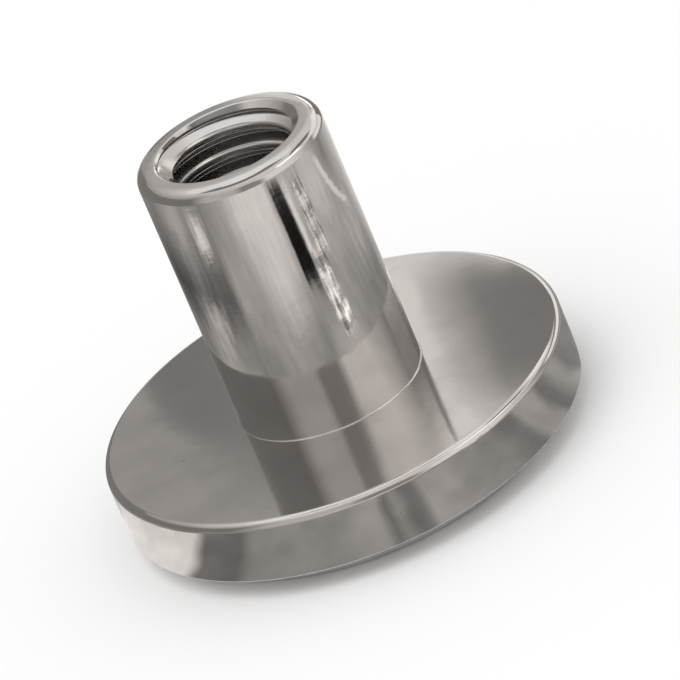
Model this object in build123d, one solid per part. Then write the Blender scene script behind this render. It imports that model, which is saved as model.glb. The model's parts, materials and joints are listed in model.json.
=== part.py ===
from build123d import *
from math import radians, tan
import os

# Barrel nut of a binding screw, in millimetres. It is turned and tapped in one piece: a flat
# round head with a bevelled rim, a plain barrel, and a blind bore in the barrel for the screw.
# It stands on the outer face of its head. The origin is the centre of that face, and +Z runs
# up the barrel to its open end.

# Head
head_diameter = 10.0
rim_height = 1.35  # straight side of the head, from the bevel to the underside
bevel_width = 0.65  # how far the bevel reaches in from the rim
bevel_height = 0.45  # how far the bevel rises from the outer face
underside_edge_radius = 0.08  # where the rim meets the underside
bevel_edge_radius = 0.05  # at both edges of the bevel

# Barrel
barrel_length = 6.0  # from the head's underside to the open end
barrel_wall = 0.5  # metal outside the thread
barrel_end_radius = 0.28  # outer edge of the open end
root_radius = 0.05  # where the barrel grows out of the head

# Bore, tapped M3 x 0.5 and left here at the diameter that the tap drill leaves
thread_diameter = 3.0
thread_pitch = 0.5
bore_floor = 1.25  # metal between the drill's point and the outer face
drill_point_angle = 118.0
countersink_margin = 0.05  # how far the countersink's mouth stands outside the thread
countersink_angle = 90.0

# Sizes that follow from those
head_radius = head_diameter / 2
face_radius = head_radius - bevel_width
head_height = bevel_height + rim_height
thread_radius = thread_diameter / 2
barrel_radius = thread_radius + barrel_wall
overall_height = head_height + barrel_length
bore_radius = (thread_diameter - thread_pitch) / 2
bore_bottom = bore_floor + bore_radius / tan(radians(drill_point_angle / 2))
countersink_radius = thread_radius + countersink_margin
countersink_depth = (countersink_radius - bore_radius) / tan(radians(countersink_angle / 2))

# The open end keeps a narrow flat ring between its outer round and the countersink
end_flat_share = 0.2
end_width = barrel_radius - countersink_radius
end_radius = min(barrel_end_radius, end_width * (1 - end_flat_share))

# Corners of half the section, as (radius, height)
face_corner = (face_radius, 0)
bevel_corner = (head_radius, bevel_height)
underside_corner = (head_radius, head_height)
root_corner = (barrel_radius, head_height)
end_corner = (barrel_radius, overall_height)
section_corners = [
    (0, 0),
    face_corner,
    bevel_corner,
    underside_corner,
    root_corner,
    end_corner,
    (countersink_radius, overall_height),
    (bore_radius, overall_height - countersink_depth),
    (bore_radius, bore_bottom),
    (0, bore_floor),
]
rounded_corners = [
    (face_corner, bevel_edge_radius),
    (bevel_corner, bevel_edge_radius),
    (underside_corner, underside_edge_radius),
    (root_corner, root_radius),
    (end_corner, end_radius),
]


def nearest_corner(sketch, corner):
    """The sketch's vertex at a corner of the section."""
    return sketch.vertices().sort_by_distance((*corner, 0))[0]


def make_barrel_nut():
    """The whole turned piece, from one section spun about its axis."""
    with BuildPart() as barrel_nut:
        with BuildSketch(Plane.XZ) as section:
            with BuildLine():
                Polyline(*section_corners, close=True)
            make_face()
            for corner, radius in rounded_corners:
                fillet(nearest_corner(section, corner), radius)
        revolve(axis=Axis.Z)
    return barrel_nut.part


os.makedirs("parts", exist_ok=True)
export_step(make_barrel_nut(), "parts/barrel_nut.step")
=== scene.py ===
import json
import math

import bmesh
import bpy
from mathutils import Matrix, Vector


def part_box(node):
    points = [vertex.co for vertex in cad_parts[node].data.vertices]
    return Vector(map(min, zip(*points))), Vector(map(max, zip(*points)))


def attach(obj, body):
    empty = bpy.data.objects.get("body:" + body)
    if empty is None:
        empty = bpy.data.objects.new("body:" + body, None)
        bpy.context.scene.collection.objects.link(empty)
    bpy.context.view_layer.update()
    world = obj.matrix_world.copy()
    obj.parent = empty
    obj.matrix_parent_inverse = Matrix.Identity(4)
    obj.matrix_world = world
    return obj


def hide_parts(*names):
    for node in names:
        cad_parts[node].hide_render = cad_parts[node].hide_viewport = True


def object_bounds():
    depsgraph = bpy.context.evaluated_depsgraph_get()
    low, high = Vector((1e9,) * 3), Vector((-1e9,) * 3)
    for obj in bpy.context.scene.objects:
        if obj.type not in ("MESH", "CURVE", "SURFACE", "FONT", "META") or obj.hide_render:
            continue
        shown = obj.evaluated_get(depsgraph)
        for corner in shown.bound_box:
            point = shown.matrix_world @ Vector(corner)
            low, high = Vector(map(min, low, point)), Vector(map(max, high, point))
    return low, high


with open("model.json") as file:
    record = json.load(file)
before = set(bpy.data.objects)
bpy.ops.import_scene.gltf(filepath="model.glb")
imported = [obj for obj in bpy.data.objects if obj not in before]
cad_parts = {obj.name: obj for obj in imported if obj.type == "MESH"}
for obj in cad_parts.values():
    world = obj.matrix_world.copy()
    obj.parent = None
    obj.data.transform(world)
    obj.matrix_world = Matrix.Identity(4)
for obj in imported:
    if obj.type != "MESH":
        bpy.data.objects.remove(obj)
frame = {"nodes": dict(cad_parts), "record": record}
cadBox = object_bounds()

# A bright nickel barrel nut that stands on its head: a turned body, its tapped thread, and a white studio.
# The body and the tap are drawn in millimetres, and what they make is scaled to metres.
mm = 0.001
mergeDistance = 0.0005
fineDistance = mergeDistance / 10
flatSlope = 0.9999  # a flat's normal stands at least this upright
zAxis = Vector((0, 0, 1))
mounts = {mount["name"]: mount for mount in frame["record"]["mounts"]}
nodeLow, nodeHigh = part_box("barrel_nut")
print("frame loaded:", sorted(frame["nodes"]))


# Shape, in millimetres

nut = {
    "headRadius": (nodeHigh.x - nodeLow.x) / 2 / mm,
    "headHeight": mounts["head_seat"]["pos_m"][2] / mm,
    "height": nodeHigh.z / mm,
    "barrelRadius": mounts["barrel"]["dims"]["r_mm"],
    "boreRadius": mounts["thread"]["dims"]["r_mm"],
    "bevelWidth": 0.65,
    "bevelHeight": 0.45,
    "boreFloor": 1.25,  # metal left under the drill's point
    "drillPointAngle": 118,
    "sinkRadius": 1.55,  # the countersink's mouth
    "bevelRound": 0.05,
    "undersideRound": 0.16,
    "rootRound": 0.03,
    "endRound": 0.28,
    "sinkRound": 0.06,
    "roundSteps": 6,
    "turnSteps": 256,
    "sharpAngle": 32,  # edges that turn by more than this stay sharp
}

tap = {
    "majorRadius": 1.5,
    "pitch": 0.5,
    "flankAngle": 60,
    "rootFlat": 0.0625,  # an eighth of the pitch
    "wallCut": 0.002,  # shaved off the drilled wall, so that the two surfaces never coincide
    "crestRound": 0.1,
    "rootRound": 0.015,
    "roundSteps": 3,
    "depth": 5.2,
    "lift": 0.17,  # raises the thread's turns, so that a crest meets the countersink at the back
    "turnSteps": 128,
}


def roundReach(radius, turn):  # how far a round reaches along each side of a corner of that turn, in degrees
    return radius * math.tan(math.radians(turn) / 2)


def drawSection(bm, corners, roundSteps):  # corners are (radius, height, reach of its round)
    verts = [bm.verts.new((radius, 0, height)) for radius, height, reach in corners]
    for pair in zip(verts, verts[1:]):
        bm.edges.new(pair)
    for vert, (radius, height, reach) in zip(verts, corners):
        if reach:
            bmesh.ops.bevel(bm, geom=[vert], offset=reach, offset_type="OFFSET", segments=roundSteps,
                            profile=0.5, affect="VERTICES", material=-1)


def closeUp(bm):
    bmesh.ops.remove_doubles(bm, verts=bm.verts, dist=mergeDistance)
    bmesh.ops.recalc_face_normals(bm, faces=bm.faces)


def meshObject(name, bm):
    mesh = bpy.data.meshes.new(name)
    bm.to_mesh(mesh)
    bm.free()
    made = bpy.data.objects.new(name, mesh)
    bpy.context.scene.collection.objects.link(made)
    return made


def applyModifiers(piece):
    shown = piece.evaluated_get(bpy.context.evaluated_depsgraph_get())
    piece.data = bpy.data.meshes.new_from_object(shown)
    piece.modifiers.clear()


def makeBlank():  # the turned and drilled body, before it is tapped
    bevelTurn = math.degrees(math.atan2(nut["bevelHeight"], nut["bevelWidth"]))
    drillTip = nut["boreRadius"] / math.tan(math.radians(nut["drillPointAngle"] / 2))
    sinkTurn = 45  # the countersink is as deep as it is wide
    sinkDepth = nut["sinkRadius"] - nut["boreRadius"]
    sinkReach = roundReach(nut["sinkRound"], sinkTurn)
    bm = bmesh.new()
    drawSection(bm, [
        (0, 0, 0),
        (nut["headRadius"] - nut["bevelWidth"], 0, roundReach(nut["bevelRound"], bevelTurn)),
        (nut["headRadius"], nut["bevelHeight"], roundReach(nut["bevelRound"], 90 - bevelTurn)),
        (nut["headRadius"], nut["headHeight"], nut["undersideRound"]),
        (nut["barrelRadius"], nut["headHeight"], nut["rootRound"]),
        (nut["barrelRadius"], nut["height"], nut["endRound"]),
        (nut["sinkRadius"], nut["height"], sinkReach),
        (nut["boreRadius"], nut["height"] - sinkDepth, sinkReach),
        (nut["boreRadius"], nut["boreFloor"] + drillTip, 0),
        (0, nut["boreFloor"], 0),
    ], nut["roundSteps"])
    bmesh.ops.spin(bm, geom=bm.verts[:] + bm.edges[:], cent=(0, 0, 0), axis=zAxis, angle=math.tau,
                   steps=nut["turnSteps"], use_merge=True)
    closeUp(bm)
    return meshObject("blank", bm)


def makeTap():  # a threaded rod, one pitch of outline wound up the bore
    core = nut["boreRadius"] + tap["wallCut"]
    halfAngle = tap["flankAngle"] / 2
    flankRise = (tap["majorRadius"] - core) * math.tan(math.radians(halfAngle))
    crestEnd = (tap["pitch"] - tap["rootFlat"]) / 2 - flankRise
    crestReach = roundReach(tap["crestRound"], 90 - halfAngle)
    rootReach = roundReach(tap["rootRound"], 90 - halfAngle)
    bottom = nut["height"] - tap["depth"]
    spareTurns = 3  # so that both ends lie past the planes that trim it
    turns = math.ceil(tap["depth"] / tap["pitch"]) + spareTurns
    start = bottom - 2 * tap["pitch"] + tap["lift"]
    bm = bmesh.new()
    drawSection(bm, [
        (core, start, 0),
        (core, start + crestEnd, crestReach),
        (tap["majorRadius"], start + crestEnd + flankRise, rootReach),
        (tap["majorRadius"], start + crestEnd + flankRise + tap["rootFlat"], rootReach),
        (core, start + tap["pitch"] - crestEnd, crestReach),
        (core, start + tap["pitch"], 0),
    ], tap["roundSteps"])
    bmesh.ops.spin(bm, geom=bm.verts[:] + bm.edges[:], cent=(0, 0, 0), axis=zAxis, angle=math.tau * turns,
                   dvec=zAxis * tap["pitch"] / tap["turnSteps"], steps=turns * tap["turnSteps"])
    bmesh.ops.remove_doubles(bm, verts=bm.verts, dist=mergeDistance)
    for height, outwards in ((bottom, -zAxis), (nut["height"] + tap["pitch"], zAxis)):
        cut = bmesh.ops.bisect_plane(bm, geom=bm.verts[:] + bm.edges[:] + bm.faces[:], clear_outer=True,
                                     dist=fineDistance, plane_co=zAxis * height, plane_no=outwards)
        rim = [part for part in cut["geom_cut"] if isinstance(part, bmesh.types.BMEdge)]
        bmesh.ops.edgeloop_fill(bm, edges=rim)
    closeUp(bm)
    return meshObject("tap", bm)


def finishOf(face):  # which finish a face has: 0 polished sides, 1 flats, 2 thread
    centre = face.calc_center_median()
    radius = math.hypot(centre.x, centre.y)
    if radius < tap["majorRadius"] and centre.z > nut["bevelHeight"]:
        return 2
    if radius > nut["barrelRadius"] and abs(face.normal.z) > flatSlope or centre.z < mergeDistance:
        return 1
    return 0


def makeNut():
    blank, cutter = makeBlank(), makeTap()
    tapping = blank.modifiers.new("tapping", "BOOLEAN")
    tapping.operation = "DIFFERENCE"
    tapping.solver = "EXACT"
    tapping.object = cutter
    applyModifiers(blank)
    bm = bmesh.new()
    bm.from_mesh(blank.data)
    bpy.data.objects.remove(blank)
    bpy.data.objects.remove(cutter)
    bmesh.ops.dissolve_degenerate(bm, edges=bm.edges, dist=fineDistance)
    closeUp(bm)
    for face in bm.faces:
        face.smooth = True
        face.material_index = finishOf(face)
    for edge in bm.edges:
        edge.smooth = edge.calc_face_angle(0) < math.radians(nut["sharpAngle"])
    made = meshObject("barrel", bm)
    weighted = made.modifiers.new("flatFaces", "WEIGHTED_NORMAL")  # put on in mm, where faces are big enough
    weighted.keep_sharp = True
    applyModifiers(made)
    made.data.transform(Matrix.Scale(mm, 4))
    return made


# Plating

polished = {
    "colour": (0.7, 0.683, 0.67, 1),
    "dullColour": (0.64, 0.625, 0.613, 1),
    "roughness": 0.05,
    "dullRoughness": 0.08,
    "anisotropy": 0.7,  # the lathe's grooves blur reflections across them only
    "marksPerMm": 14,
    "marksHeight": 0.25,  # heights in micrometres
    "peelPerMm": 1.4,
    "peelHeight": 4,
    "pitsPerMm": 0.9,
    "pitDepth": 3,
}

satin = {
    "colour": (0.7, 0.683, 0.67, 1),
    "dullColour": (0.62, 0.605, 0.594, 1),
    "roughness": 0.09,
    "dullRoughness": 0.13,
    "anisotropy": 0.85,
    "marksPerMm": 10,
    "marksHeight": 0.3,
    "peelPerMm": 1.2,
    "peelHeight": 2,
    "pitsPerMm": 0.7,
    "pitDepth": 3,
}

cutMetal = {
    "colour": (0.68, 0.664, 0.651, 1),
    "dullColour": (0.62, 0.605, 0.594, 1),
    "rootShadeColour": (0.56, 0.547, 0.537, 1),  # painted shade: a darker colour in the thread's roots
    "roughness": 0.16,
    "dullRoughness": 0.26,
    "anisotropy": 0,
    "marksPerMm": 24,
    "marksHeight": 0.15,
    "peelPerMm": 3,
    "peelHeight": 1.5,
    "pitsPerMm": 1,
    "pitDepth": 1,
}

patches = {  # where a finish goes over into its dull colour
    "perMm": 0.7,
    "from": 0.4,
    "to": 0.65,
}

pitShare = 0.05  # how far a pit reaches, as a share of the space between pits

rootShadeReach = {  # where the painted shade in the thread's roots comes in, in mm
    "start": 0.03,  # outside the crests
    "full": 0.12,
    "below": 0.06,  # under the countersink
}


def addNode(tree, kind, inputs=None, **settings):  # inputs are values, or sockets to link
    node = tree.nodes.new("ShaderNode" + kind)
    for name, value in settings.items():
        setattr(node, name, value)
    for socket, value in (inputs or {}).items():
        if isinstance(value, bpy.types.NodeSocket):
            tree.links.new(value, node.inputs[socket])
        else:
            node.inputs[socket].default_value = value
    return node


def maths(tree, operation, *inputs, **settings):
    return addNode(tree, "Math", dict(enumerate(inputs)), operation=operation, **settings).outputs["Value"]


def mapRange(tree, value, start=0, end=1, low=0, high=1):  # start becomes low and end becomes high
    inputs = {"Value": value, "From Min": start, "From Max": end, "To Min": low, "To Max": high}
    return addNode(tree, "MapRange", inputs).outputs["Result"]


def noise(tree, place, scale, detail, roughness=0.5):
    inputs = {"Vector": place, "Scale": scale, "Detail": detail, "Roughness": roughness}
    return addNode(tree, "TexNoise", inputs).outputs["Fac"]


def offAxis(tree, place):  # the way out from the axis, and how far out
    flat = addNode(tree, "VectorMath", {0: place, 1: (1, 1, 0)}, operation="MULTIPLY").outputs["Vector"]
    return flat, addNode(tree, "VectorMath", {0: flat}, operation="LENGTH").outputs["Value"]


def lathePlace(tree, place, marksPerMm):  # changes fast across the tool marks and slowly round them
    flat, radius = offAxis(tree, place)
    bearing = addNode(tree, "VectorMath", {0: flat}, operation="NORMALIZE").outputs["Vector"]
    height = addNode(tree, "SeparateXYZ", {0: place}).outputs["Z"]
    along = maths(tree, "MULTIPLY", maths(tree, "ADD", radius, height), marksPerMm / mm)
    lift = addNode(tree, "CombineXYZ", {"Z": along}).outputs["Vector"]
    return addNode(tree, "VectorMath", {0: bearing, 1: lift}, operation="ADD").outputs["Vector"]


def paintedRootShade(tree, place):  # where shade is painted into the thread: 0 on the crests and above the thread, 1 in its roots
    radius = offAxis(tree, place)[1]
    height = addNode(tree, "SeparateXYZ", {0: place}).outputs["Z"]
    start = (nut["boreRadius"] + rootShadeReach["start"]) * mm
    full = (nut["boreRadius"] + rootShadeReach["full"]) * mm
    sinkFoot = (nut["height"] - nut["sinkRadius"] + nut["boreRadius"]) * mm
    deep = mapRange(tree, radius, start, full)
    below = mapRange(tree, height, sinkFoot, sinkFoot - rootShadeReach["below"] * mm)
    return maths(tree, "MULTIPLY", deep, below)


def mixColour(tree, factor, first, second):
    mix = addNode(tree, "Mix", data_type="RGBA")
    tree.links.new(factor, mix.inputs["Factor"])
    for socket, value in (("A", first), ("B", second)):
        if isinstance(value, bpy.types.NodeSocket):
            tree.links.new(value, mix.inputs[socket])
        else:
            mix.inputs[socket].default_value = value
    return mix.outputs["Result"]


def plating(name, finish):
    material = bpy.data.materials.new(name)
    material.use_nodes = True
    tree = material.node_tree
    shader = tree.nodes["Principled BSDF"]
    shader.inputs["Metallic"].default_value = 1
    shader.inputs["Anisotropic"].default_value = finish["anisotropy"]
    shader.inputs["Anisotropic Rotation"].default_value = 0.25  # a quarter turn
    place = addNode(tree, "TexCoord").outputs["Object"]
    marks = noise(tree, lathePlace(tree, place, finish["marksPerMm"]), scale=1, detail=3, roughness=0.6)
    peel = noise(tree, place, finish["peelPerMm"] / mm, detail=3)
    spots = addNode(tree, "TexVoronoi", {"Vector": place, "Scale": finish["pitsPerMm"] / mm})
    pits = mapRange(tree, spots.outputs["Distance"], end=pitShare)
    cloud = noise(tree, place, patches["perMm"] / mm, detail=4)
    dull = mapRange(tree, cloud, patches["from"], patches["to"])
    colour = mixColour(tree, dull, finish["colour"], finish["dullColour"])
    # painted shade: the thread's roots get a darker colour, where shade falls in the grooves
    if "rootShadeColour" in finish:
        colour = mixColour(tree, paintedRootShade(tree, place), colour, finish["rootShadeColour"])
    rough = mapRange(tree, dull, low=finish["roughness"], high=finish["dullRoughness"])
    surface = None
    for height, depth in ((marks, "marksHeight"), (peel, "peelHeight"), (pits, "pitDepth")):
        inputs = {"Height": height, "Distance": finish[depth] * mm / 1000}
        if surface:
            inputs["Normal"] = surface
        surface = addNode(tree, "Bump", inputs).outputs["Normal"]
    tree.links.new(colour, shader.inputs["Base Color"])
    tree.links.new(rough, shader.inputs["Roughness"])
    tree.links.new(surface, shader.inputs["Normal"])
    return material


# Studio, in metres

studio = {
    "floorSize": 4,
    "floorColour": (0.95, 0.95, 0.95, 1),
    "floorRoughness": 0.9,
    "floorFade": (0.04, 0.2),  # between these distances the floor goes over into the white background
    "floorDrop": 0.00001,  # keeps the floor just clear of the head
    "lampSize": 0.3,
    "lampPlace": (-0.14, -0.06, 0.34),
    "lampPower": 0.38,
    "worldForMatt": 0.86,  # what matt surfaces get, while the camera and reflections see white
}

cameraRig = {
    "elevation": 26.8,
    "lean": 23,  # how far the barrel leans left in the frame
    "distance": 0.13,
    "lens": 336,
    "aim": (0.11, 0, 0.34),  # as shares of the box's high corner
}


def makeFloor():
    bm = bmesh.new()
    bmesh.ops.create_grid(bm, x_segments=1, y_segments=1, size=studio["floorSize"] / 2)
    floor = meshObject("floor", bm)
    floor.location.z = -studio["floorDrop"]
    material = bpy.data.materials.new("whiteFloor")
    material.use_nodes = True
    tree = material.node_tree
    shader = tree.nodes["Principled BSDF"]
    shader.inputs["Base Color"].default_value = studio["floorColour"]
    shader.inputs["Roughness"].default_value = studio["floorRoughness"]
    shader.inputs["Specular IOR Level"].default_value = 0
    place = addNode(tree, "TexCoord").outputs["Object"]
    away = addNode(tree, "VectorMath", {0: place}, operation="LENGTH").outputs["Value"]
    fade = mapRange(tree, away, *studio["floorFade"])
    clear = addNode(tree, "BsdfTransparent").outputs["BSDF"]
    shown = addNode(tree, "MixShader", {0: fade, 1: shader.outputs["BSDF"], 2: clear})
    tree.links.new(shown.outputs["Shader"], tree.nodes["Material Output"].inputs["Surface"])
    floor.data.materials.append(material)


# What stands round the piece in a heap, seen only in its reflections: grey cards. Each is a line turned about
# the piece, or a sheet with four corners, in mm. A line's points are (radius, height), and bearings are in
# degrees from the camera's side, to the right. A tone is the light that comes back, where 1 is white: by
# bearing, or by radius in a pattern that repeats, and rows give the tones at some radii. Wander is how many
# degrees the tones stray by, mottle how much they vary, and soft the share of each side that fades out.
surroundings = {
    "rimRing": {  # lies on the floor, where the rim sees it
        "line": [(5.2, 0.02), (8.3, 0.02)],
        "tones": [(-180, 0.4), (-112, 0.6), (-103, 0.88), (-66, 0.9), (-61, 0.2), (-48, 0.19), (-43, 0.33),
                  (-15, 0.33), (-5, 0.42), (-1, 0.42), (1, 0.2), (4, 0.38), (8, 0.22), (11, 0.24),
                  (14, 0.45), (24, 0.42), (30, 0.34), (42, 0.32), (47, 0.24), (53, 0.24), (56, 0.46),
                  (64, 0.42), (68, 0.22), (72, 0.25), (79, 0.42), (83, 0.42), (87, 0.27), (130, 0.3),
                  (180, 0.4)],
        "wander": 3,
        "mottle": 0.3,
    },
    "barrelRing": {
        "line": [(8.3, 0.02), (25, 0.02)],
        "rows": [
            (9.6, [(-180, 0.45), (-150, 0.24), (-128, 0.25), (-112, 0.42), (-96, 0.44), (-80, 0.33),
                   (-48, 0.31), (-16, 0.45), (0, 0.39), (16, 0.3), (32, 0.48), (48, 0.53), (64, 0.39),
                   (96, 0.29), (128, 0.27), (150, 0.55), (180, 0.75)]),
            (12.3, [(-180, 0.3), (-152, 0.15), (-140, 0.08), (-118, 0.09), (-98, 0.19), (-90, 0.12),
                    (-61, 0.13), (-52, 0.48), (-30, 0.44), (-20, 0.6), (-12, 0.72), (2, 0.82), (10, 0.65),
                    (18, 0.5), (34, 0.3), (50, 0.37), (64, 0.5), (80, 0.42), (112, 0.55), (130, 0.45),
                    (150, 0.7), (180, 1)]),
            (16.3, [(-180, 0.36), (-150, 0.25), (-128, 0.26), (-112, 0.39), (-96, 0.52), (-84, 0.35),
                    (-60, 0.3), (-34, 0.48), (-20, 0.78), (0, 0.88), (16, 0.88), (22, 0.5), (36, 0.6),
                    (60, 0.62), (72, 0.7), (84, 0.7), (96, 0.44), (112, 0.3), (128, 0.5), (146, 0.7),
                    (180, 1.2)]),
        ],
        "wander": 5,
        "mottle": 0.25,
    },
    "lowWall": {
        "line": [(25, 0.02), (25, 15.5)],
        "tones": [(-180, 0.4), (-166, 0.4), (-158, 0.24), (-64, 0.23), (-50, 0.5), (-44, 0.58), (-12, 0.56),
                  (-4, 0.3), (16, 0.32), (26, 0.9), (60, 0.95), (84, 0.6), (100, 0.33), (160, 0.28),
                  (164, 0.87), (176, 0.87), (180, 0.4)],
    },
    "highWall": {
        "line": [(25, 15.5), (25, 18.6)],
        "tones": [(-180, 0.4), (-166, 0.4), (-158, 0.24), (-64, 0.23), (-50, 0.5), (-44, 0.58), (-12, 0.58),
                  (-6, 0.3), (10, 0.32), (18, 0.9), (120, 0.9), (140, 0.7), (160, 0.6), (164, 0.87),
                  (176, 0.87), (180, 0.4)],
    },
    "skyRim": {  # seen by the lip, which it dims from grey to white
        "line": [(25, 18.6), (18, 34)],
        "rows": [
            (18, [(-180, 0.86), (180, 0.86)]),
            (25, [(-180, 0.52), (-160, 0.4), (-60, 0.35), (-40, 0.6), (60, 0.8), (160, 0.8),
                  (174, 0.52), (180, 0.52)]),
        ],
        "wander": 8,
        "mottle": 0.15,
    },
    "overBoard": {  # seen by the back of the countersink
        "bearings": (-80, 80),
        "line": [(8, 16.5), (8, 34)],
        "tones": [(-80, 0.24), (80, 0.24)],
        "wander": 12,
        "mottle": 0.5,
        "soft": (0.2, 0.2),
    },
    "sideBoard": {  # seen by the left of the countersink and the right of the lip
        "bearings": (98, 152),
        "line": [(12.5, 9.5), (12.5, 14.8)],
        "tones": [(98, 1), (152, 1.25)],
        "soft": (0.3, 0.25),
    },
    "sideWall": {  # seen by the right of the lip
        "bearings": (98, 162),
        "line": [(24, 3), (24, 11.6)],
        "tones": [(98, 1), (162, 1.1)],
        "wander": 4,
        "soft": (0.2, 0.2),
    },
    "backRight": {
        "bearings": (134, 167),
        "line": [(11, 5.2), (11, 9.8)],
        "tones": [(134, 0.24), (160, 0.24), (167, 0.7)],
        "soft": (0.05, 0.3),
    },
    "backLeft": {
        "corners": [(-4.4, 19, 7), (-1.9, 19, 7), (-1.9, 19, 13.8), (-4.1, 19, 10.8)],
        "tones": [(-180, 0.236), (180, 0.236)],
    },
    "darkStreak": {
        "bearings": (21, 37),
        "line": [(11.7, 0.05), (18.2, 0.05)],
        "tones": [(21, 0.008), (37, 0.008)],
        "wander": 5,
        "soft": (0.25, 0.2),
    },
    "streakEdge": {
        "bearings": (36, 44),
        "line": [(11.2, 0.06), (17.4, 0.06)],
        "tones": [(36, 1.1), (44, 0.8)],
        "wander": 5,
        "soft": (0.6, 0.3),
    },
    "sparkRow": {
        "bearings": (35, 55),
        "line": [(8.8, 0.08), (13.4, 0.08)],
        "repeat": 0.55,
        "tones": [(0, 2.2), (0.2, 2), (0.26, 0.08), (0.55, 0.08)],
        "wander": 9,
        "soft": (0.35, 0.25),
    },
    "spotRow": {
        "bearings": (46, 63),
        "line": [(13, 0.05), (17.2, 0.05)],
        "repeat": 0.7,
        "tones": [(0, 0.005), (0.34, 0.005), (0.38, 1.3), (0.7, 1.2)],
        "wander": 10,
        "soft": (0.3, 0.2),
    },
    "lightPatch": {
        "bearings": (-116, -76),
        "line": [(8.6, 0.05), (12.4, 0.05)],
        "tones": [(-116, 0.55), (-76, 0.55)],
        "wander": 20,
        "mottle": 0.8,
        "soft": (0.9, 0.8),
    },
    "sideStroke": {
        "corners": [(17.2, -1.2, 0.05), (17.1, 0.9, 0.05), (11.4, 7.1, 0.05), (12.3, 5.4, 0.05)],
        "tones": [(-180, 0.85), (180, 0.85)],
    },
    "lightStroke": {
        "bearings": (-82, -60),
        "line": [(14.6, 0.05), (17.6, 0.05)],
        "tones": [(-82, 1), (-60, 1)],
        "wander": 20,
        "soft": (0.9, 0.6),
    },
    "backGlow": {  # softboxes
        "bearings": (152, 167),
        "line": [(22, 9.5), (22, 14)],
        "tones": [(152, 1.8), (167, 1.8)],
    },
    "sideGlow": {
        "bearings": (40, 88),
        "line": [(22, 17.5), (22, 24)],
        "tones": [(40, 1.7), (88, 1.7)],
        "soft": (0.3, 0.2),
    },
    "darkBoard": {
        "corners": [(20.7, -9, 26), (19, 11, 16), (19, 11, 25), (20.7, -9, 41)],
        "tones": [(-180, 0.22), (180, 0.22)],
    },
}

cardPattern = {  # what the cards share
    "tint": (1, 0.96, 0.925),  # red, green and blue shares of a tone
    "wanderPerMm": 0.9,
    "wanderReach": 2,  # how many mm the tones stray outwards or inwards by
    "wanderAngle": 2,  # where a card gives none
    "grainPerMm": 0.8,
    "stepAngle": 2,  # between the sides of a turned card
}


def toneRamp(tree, share, tones):
    first, last = tones[0][0], tones[-1][0]
    ramp = addNode(tree, "ValToRGB", {"Fac": share})
    stops = ramp.color_ramp.elements
    while len(stops) > 1:
        stops.remove(stops[-1])
    for count, (step, tone) in enumerate(tones):
        stop = stops[0] if count == 0 else stops.new(1)
        stop.position = (step - first) / (last - first)
        stop.color = [tone * part for part in cardPattern["tint"]] + [1]
    return ramp.outputs["Color"]


def fadeIn(tree, share, soft):  # from 0 at either end to 1 in the middle
    off = maths(tree, "ABSOLUTE", maths(tree, "SUBTRACT", share, 0.5))
    return mapRange(tree, off, 0.5, 0.5 - soft / 2)


def toneMaterial(name, card):
    material = bpy.data.materials.new(name)
    material.use_nodes = True
    material.cycles.emission_sampling = "NONE"
    tree = material.node_tree
    tree.nodes.remove(tree.nodes["Principled BSDF"])
    wanderAngle = math.radians(card.get("wander", cardPattern["wanderAngle"]))
    place = addNode(tree, "TexCoord").outputs["Object"]
    wander = maths(tree, "SUBTRACT", noise(tree, place, cardPattern["wanderPerMm"] / mm, detail=3), 0.5)
    radius = maths(tree, "MULTIPLY_ADD", wander, cardPattern["wanderReach"] * mm, offAxis(tree, place)[1])
    axes = addNode(tree, "SeparateXYZ", {0: place}).outputs
    bearing = maths(tree, "ARCTAN2", axes["X"], maths(tree, "MULTIPLY", axes["Y"], -1))
    bearing = maths(tree, "MULTIPLY_ADD", wander, wanderAngle, bearing)
    first, last = card.get("bearings", (-180, 180))
    bearingShare = mapRange(tree, bearing, math.radians(first), math.radians(last))
    share = bearingShare
    if "repeat" in card:
        repeat = card["repeat"] * mm
        share = mapRange(tree, maths(tree, "PINGPONG", radius, repeat), end=repeat)
    rows = card.get("rows") or [(0, card["tones"])]
    colour = toneRamp(tree, share, rows[0][1])
    for (nearer, nearTones), (farther, farTones) in zip(rows, rows[1:]):
        farShare = mapRange(tree, radius, nearer * mm, farther * mm)
        colour = mixColour(tree, farShare, colour, toneRamp(tree, share, farTones))
    grain = noise(tree, place, cardPattern["grainPerMm"] / mm, detail=2)
    mottle = card.get("mottle", 0)
    strength = mapRange(tree, grain, low=1 - mottle, high=1 + mottle)
    seen = addNode(tree, "Emission", {"Color": colour, "Strength": strength}).outputs["Emission"]
    if "soft" in card:
        (nearRadius, nearHeight), (farRadius, farHeight) = card["line"]
        if nearRadius == farRadius:
            across, near, far = axes["Z"], nearHeight, farHeight
        else:
            across, near, far = radius, nearRadius, farRadius
        acrossShare = mapRange(tree, across, near * mm, far * mm)
        cover = maths(tree, "MULTIPLY", fadeIn(tree, bearingShare, card["soft"][0]),
                      fadeIn(tree, acrossShare, card["soft"][1]))
        clear = addNode(tree, "BsdfTransparent").outputs["BSDF"]
        seen = addNode(tree, "MixShader", {0: cover, 1: clear, 2: seen}).outputs["Shader"]
    tree.links.new(seen, tree.nodes["Material Output"].inputs["Surface"])
    return material


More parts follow.
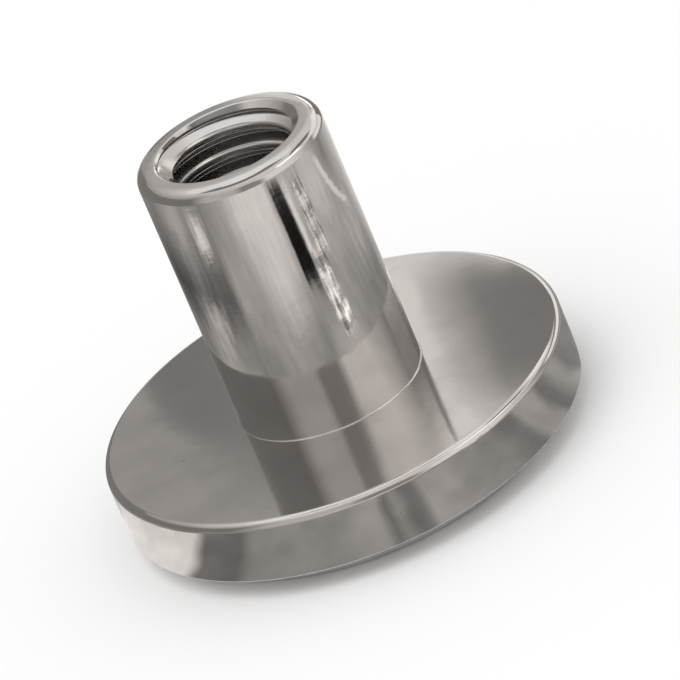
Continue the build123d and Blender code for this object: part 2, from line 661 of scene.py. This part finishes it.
def makeSurroundings():
    for name, card in surroundings.items():
        bm = bmesh.new()
        if "corners" in card:
            bm.faces.new([bm.verts.new(Vector(corner) * mm) for corner in card["corners"]])
        else:
            first, last = card.get("bearings", (-180, 180))
            verts = [bm.verts.new((0, -radius * mm, height * mm)) for radius, height in card["line"]]
            bmesh.ops.rotate(bm, verts=verts, matrix=Matrix.Rotation(math.radians(first), 3, "Z"))
            edge = bm.edges.new(verts)
            span = last - first
            bmesh.ops.spin(bm, geom=verts + [edge], cent=(0, 0, 0), axis=zAxis, angle=math.radians(span),
                           steps=math.ceil(span / cardPattern["stepAngle"]), use_merge=span == 360)
        made = meshObject(name, bm)
        made.data.materials.append(toneMaterial(name + "Tone", card))
        made.visible_camera = False
        made.visible_diffuse = False
        made.visible_shadow = False


def makeLight():
    lamp = bpy.data.lights.new("softbox", "AREA")
    lamp.size = studio["lampSize"]
    lamp.energy = studio["lampPower"]
    holder = bpy.data.objects.new("softbox", lamp)
    bpy.context.scene.collection.objects.link(holder)
    holder.location = studio["lampPlace"]
    holder.visible_glossy = False
    holder.rotation_euler = (-Vector(studio["lampPlace"])).to_track_quat("-Z", "Y").to_euler()
    world = bpy.data.worlds.new("studio")
    world.use_nodes = True
    bpy.context.scene.world = world
    tree = world.node_tree
    background = tree.nodes["Background"]
    background.inputs["Color"].default_value = (1, 1, 1, 1)
    rays = addNode(tree, "LightPath").outputs
    seen = maths(tree, "ADD", rays["Is Camera Ray"], rays["Is Glossy Ray"])
    seen = maths(tree, "ADD", seen, rays["Is Transmission Ray"], use_clamp=True)
    strength = mapRange(tree, seen, low=studio["worldForMatt"])
    tree.links.new(strength, background.inputs["Strength"])


def makeCamera():
    rise = math.radians(cameraRig["elevation"])
    back = Vector((0, -math.cos(rise), math.sin(rise)))
    aim = cadBox[1] * Vector(cameraRig["aim"])
    lens = bpy.data.cameras.new("camera")
    lens.lens = cameraRig["lens"]
    lens.clip_start = 0.001
    camera = bpy.data.objects.new("camera", lens)
    bpy.context.scene.collection.objects.link(camera)
    camera.location = aim + back * cameraRig["distance"]
    lean = Matrix.Rotation(math.radians(-cameraRig["lean"]), 3, "Z")
    turn = (-back).to_track_quat("-Z", "Y").to_matrix() @ lean
    camera.rotation_euler = turn.to_euler()
    bpy.context.scene.camera = camera


barrelNut = makeNut()
for finishName, finish in (("polishedNickel", polished), ("satinNickel", satin), ("cutNickel", cutMetal)):
    barrelNut.data.materials.append(plating(finishName, finish))
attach(barrelNut, "root")
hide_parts("barrel_nut")
print("barrel nut:", len(barrelNut.data.polygons), "faces")

makeFloor()
makeSurroundings()
makeLight()
makeCamera()
bpy.context.scene.view_settings.view_transform = "Standard"
print("studio set")
